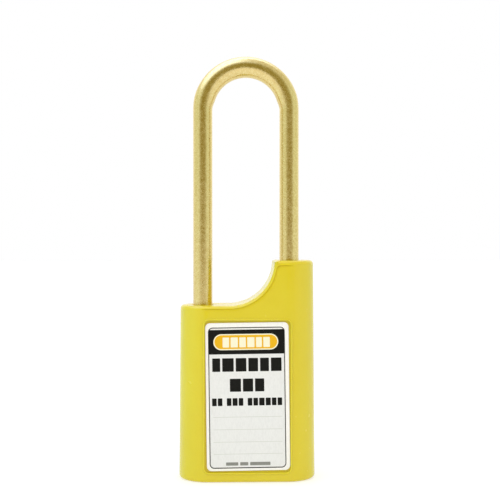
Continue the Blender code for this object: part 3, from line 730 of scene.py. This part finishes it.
def print_heights(layer):
    """Where a layer of the print starts and ends. A hair's gap parts it from the layer below."""
    return PRINT_STEP * (layer - 1) + PRINT_GAP, PRINT_STEP * layer


def print_piece(name, corners, layer, facing):
    outline = block(*corners)
    rings = [[label_point(u, v, w, facing) for u, v in outline] for w in print_heights(layer)]
    return ring_mesh(name, rings)


def frame_piece(name, outer, inner, layer, facing):
    """A printed line that closes on itself: the band between two outlines with the same steps."""
    low, high = print_heights(layer)
    rings = []
    for corners, w in ((outer, low), (outer, high), (inner, high), (inner, low)):
        rings.append([label_point(u, v, w, facing) for u, v in block(*corners)])
    return ring_mesh(name, rings, closed=True)


def block(u_low, u_high, v_low, v_high, radius, steps):
    """A rounded rectangle from sizes in millimetres."""
    low_u, high_u, low_v, high_v = (c * MM for c in (u_low, u_high, v_low, v_high))
    return rounded_rectangle(low_u, high_u, low_v, high_v, radius * MM, steps)


def row_of_blocks(widths, left, right, low, high):
    """Blocks of the given relative widths spread from left to right. A zero leaves a word's gap."""
    gap = 0.15 * (high - low)
    space = 1.9 * gap
    joints = len(widths) - 1
    unit = (right - left - gap * joints - space * widths.count(0)) / sum(widths)
    blocks, u = [], left
    for width in widths:
        if width == 0:
            u += space + gap
            continue
        blocks.append((u, u + width * unit, low, high))
        u += width * unit + gap
    return blocks


def make_label(side, facing, looks):
    """The card, its border, header band and pill, and plain blocks that stand where words would."""
    half_u, half_v = CARD_SIZE[0] / 2, CARD_SIZE[1] / 2
    rings = []
    for rise, inset in ((-CARD_THICKNESS, 0), (-CARD_EDGE, 0), (0, CARD_EDGE)):
        u, v = half_u - inset, half_v - inset
        outline = rounded_rectangle(-u, u, -v, v, CARD_CORNER - inset, 8)
        rings.append([label_point(u, v, rise, facing) for u, v in outline])
    base = ring_mesh(f"card_{side}", rings)
    finish_mesh(base)
    dress(base, looks["card"], "lock_body", [f"label_{side}"])

    def add(obj, look):
        dress(obj, looks[look], "lock_body")

    add(print_piece(f"panel_{side}", PANEL, 1, facing), "panel")
    add(frame_piece(f"border_{side}", BORDER_OUTER, BORDER_INNER, 2, facing), "black")
    add(print_piece(f"header_{side}", HEADER, 3, facing), "black")
    add(print_piece(f"pill_{side}", PILL_INNER, 4, facing), "amber")
    add(frame_piece(f"pill_line_{side}", PILL_OUTER, PILL_INNER, 4, facing), "cream")
    for row, widths, left, right, low, high, layer, look in ROWS:
        for number, sides in enumerate(row_of_blocks(widths, left, right, low, high), 1):
            corners = (*sides, BLOCK_CORNER, BLOCK_STEPS)
            add(print_piece(f"{row}_{number}_{side}", corners, layer, facing), look)
    for number, height in enumerate(RULE_HEIGHTS, 1):
        sides = (RULE_LEFT, RULE_RIGHT, height - RULE_HALF, height + RULE_HALF)
        corners = (*sides, RULE_CORNER, RULE_STEPS)
        add(print_piece(f"rule_{number}_{side}", corners, 2, facing), "faint")


# ---------------------------------------------------------------- carried-over CAD nodes


def dress_nodes():
    """Gives the CAD nodes that are kept as they are the material of their slot."""
    along_z, across_z = (1, 1, 0.2), (1, 1, 4)
    looks = {
        "screw_steel": metal("plated_steel", (0.42, 0.43, 0.45), (0.62, 0.62, 0.63), 0.30, 1800),
        "spring_steel": metal(
            "spring_steel", (0.28, 0.28, 0.30), (0.48, 0.48, 0.50), 0.28, 2500, along_z
        ),
        "zinc_casting": metal(
            "cast_zinc", (0.34, 0.35, 0.36), (0.50, 0.51, 0.52), 0.46, 900, strength=0.3
        ),
        "plug_brass": metal(
            "turned_brass", (0.56, 0.42, 0.17), (0.74, 0.60, 0.28), 0.30, 1600, across_z
        ),
        "pin_brass": metal("pin_brass", (0.62, 0.48, 0.22), (0.78, 0.64, 0.34), 0.28, 2200),
    }
    slots = {part["node"]: part["material_slot"] for part in frame["record"]["subparts"]}
    for name, node in NODES.items():
        if slots[name] in looks:
            node.data.materials.clear()
            node.data.materials.append(looks[slots[name]])


# ---------------------------------------------------------------- stage, light and camera

# Area lights: name, place, size, watts and colour. All look at LIGHT_AIM.
LIGHT_AIM = (0, 0, 0.06)
LIGHTS = (
    ("front_fill", (0.05, -0.55, 0.42), (0.4, 0.3), 1.05, (1.0, 0.71, 0.61)),
    ("left_panel", (-0.50, -0.16, 0.16), (0.3, 0.4), 0.72, (0.35, 1.0, 0.72)),
    ("right_panel", (0.50, -0.16, 0.16), (0.3, 0.4), 0.32, (0.30, 1.0, 0.85)),
    ("top_panel", (-0.08, -0.12, 0.46), (0.4, 0.3), 0.35, (1.0, 1.0, 0.96)),
)

# Soft patches of the world: azimuth, elevation, inner and outer degrees, and the colour in the patch.
# Azimuth 0 is -Y and 90 is +X. A later patch lies over an earlier one.
SKY_BASE = (0.36, 0.36, 0.36)
SKY_PATCHES = ((0, 90, 15, 80, (1.15, 1.15, 1.12)),)
ROOM_BASE = (0.90, 0.98, 0.84)
ROOM_PATCHES = (
    (180, 10, 30, 80, (1.20, 1.20, 1.18)),
    (0, 88, 14, 48, (2.6, 2.9, 4.0)),
    (-60, 70, 15, 50, (2.1, 2.4, 3.4)),
    (60, 60, 10, 40, (0.85, 0.83, 0.70)),
    (3, 14, 15, 52, (0.38, 0.32, 0.09)),
)
BACKDROP = (1.0, 1.0, 1.0)


def make_stage():
    """A white floor just under the lock. It glows a little, so that its shadows stay faint."""
    tree = Tree("white_floor")
    clouds = tree.noise(3, 2, 0.5)
    colour = tree.mix(clouds, (0.48, 0.48, 0.48), (0.50, 0.50, 0.50))
    tree.set(color=colour, roughness=0.7, emission=(1, 1, 1), emission_strength=0.52)
    side, front, back = 3.0, -1.3, 3.0
    level = -0.1 * MM
    corners = [(-side, front, level), (side, front, level), (side, back, level), (-side, back, level)]
    mesh = bpy.data.meshes.new("floor")
    mesh.from_pydata(corners, [], [(0, 1, 2, 3)])
    floor = bpy.data.objects.new("floor", mesh)
    bpy.context.scene.collection.objects.link(floor)
    mesh.materials.append(tree.material)


def turn_towards(obj, aim):
    direction = Vector(aim) - obj.location
    obj.rotation_euler = direction.to_track_quat("-Z", "Y").to_euler()


def make_lights():
    for name, stand, size, watts, colour in LIGHTS:
        data = bpy.data.lights.new(name, "AREA")
        data.shape = "RECTANGLE"
        data.size, data.size_y = size
        data.energy = watts
        data.color = colour
        light = bpy.data.objects.new(name, data)
        bpy.context.scene.collection.objects.link(light)
        light.location = stand
        turn_towards(light, LIGHT_AIM)
        light.visible_glossy = False


def make_world():
    """A white studio. The lens sees plain white, glossy surfaces a dim front between bright sides."""
    world = bpy.data.worlds.new("studio")
    world.use_nodes = True
    bpy.context.scene.world = world
    nodes, links = world.node_tree.nodes, world.node_tree.links
    nodes.clear()
    direction = nodes.new("ShaderNodeTexCoord").outputs["Generated"]
    rays = nodes.new("ShaderNodeLightPath").outputs

    def patch(azimuth, elevation, inner, outer):
        """1 within inner degrees of the direction, and 0 beyond outer."""
        a, e = math.radians(azimuth), math.radians(elevation)
        dot = nodes.new("ShaderNodeVectorMath")
        dot.operation = "DOT_PRODUCT"
        dot.inputs[1].default_value = (
            math.sin(a) * math.cos(e),
            -math.cos(a) * math.cos(e),
            math.sin(e),
        )
        links.new(direction, dot.inputs[0])
        ramp = nodes.new("ShaderNodeMapRange")
        ramp.interpolation_type = "SMOOTHSTEP"
        ramp.inputs["From Min"].default_value = math.cos(math.radians(outer))
        ramp.inputs["From Max"].default_value = math.cos(math.radians(inner))
        links.new(dot.outputs["Value"], ramp.inputs["Value"])
        return ramp.outputs["Result"]

    def background(colour, patches=()):
        for *spot, over in patches:
            node = nodes.new("ShaderNodeMix")
            node.data_type = "RGBA"
            links.new(patch(*spot), node.inputs["Factor"])
            put(links, node.inputs["A"], colour)
            put(links, node.inputs["B"], over)
            colour = node.outputs["Result"]
        node = nodes.new("ShaderNodeBackground")
        put(links, node.inputs["Color"], colour)
        return node.outputs[0]

    def choose(ray, otherwise, chosen):
        node = nodes.new("ShaderNodeMixShader")
        links.new(rays[ray], node.inputs[0])
        links.new(otherwise, node.inputs[1])
        links.new(chosen, node.inputs[2])
        return node.outputs[0]

    sky = background(SKY_BASE, SKY_PATCHES)
    seen = choose("Is Glossy Ray", sky, background(ROOM_BASE, ROOM_PATCHES))
    seen = choose("Is Camera Ray", seen, background(BACKDROP))
    links.new(seen, nodes.new("ShaderNodeOutputWorld").inputs["Surface"])


def make_camera():
    """A long lens in front of the lock. At the target it sees view_width across."""
    data = bpy.data.cameras.new("camera")
    camera = bpy.data.objects.new("camera", data)
    bpy.context.scene.collection.objects.link(camera)
    distance, view_width = 0.350, 0.16406
    data.sensor_width = 36.0
    data.lens = data.sensor_width * distance / view_width
    camera.location = (-0.008, -distance, 0.079)
    turn_towards(camera, (0.00098, 0, 0.07432))
    bpy.context.scene.camera = camera


# ---------------------------------------------------------------- the scene


def main():
    bpy.context.scene.view_settings.view_transform = "Standard"
    looks = {
        "card": card("label_card", (0.93, 0.915, 0.885)),
        "panel": card("label_panel", (0.79, 0.785, 0.785)),
        "black": ink("ink_black", (0.006, 0.006, 0.005), (0.016, 0.016, 0.014)),
        "amber": ink("ink_amber", (0.80, 0.44, 0.012), (0.82, 0.48, 0.03)),
        "cream": ink("ink_cream", (0.90, 0.84, 0.62), (0.92, 0.88, 0.72)),
        "grey": ink("ink_grey", (0.24, 0.24, 0.22), (0.32, 0.32, 0.30)),
        "faint": ink("ink_faint", (0.60, 0.61, 0.57), (0.68, 0.69, 0.65)),
    }
    yellow = nylon()
    make_camera()
    make_body_shell(yellow)
    make_recess_bead("front", FRONT, yellow)
    make_recess_bead("back", BACK, yellow)
    make_bottom_cover(yellow)
    make_shackle(bar_brass())
    make_label("front", FRONT, looks)
    make_label("back", BACK, looks)
    dress_nodes()
    make_world()
    make_lights()
    make_stage()


main()
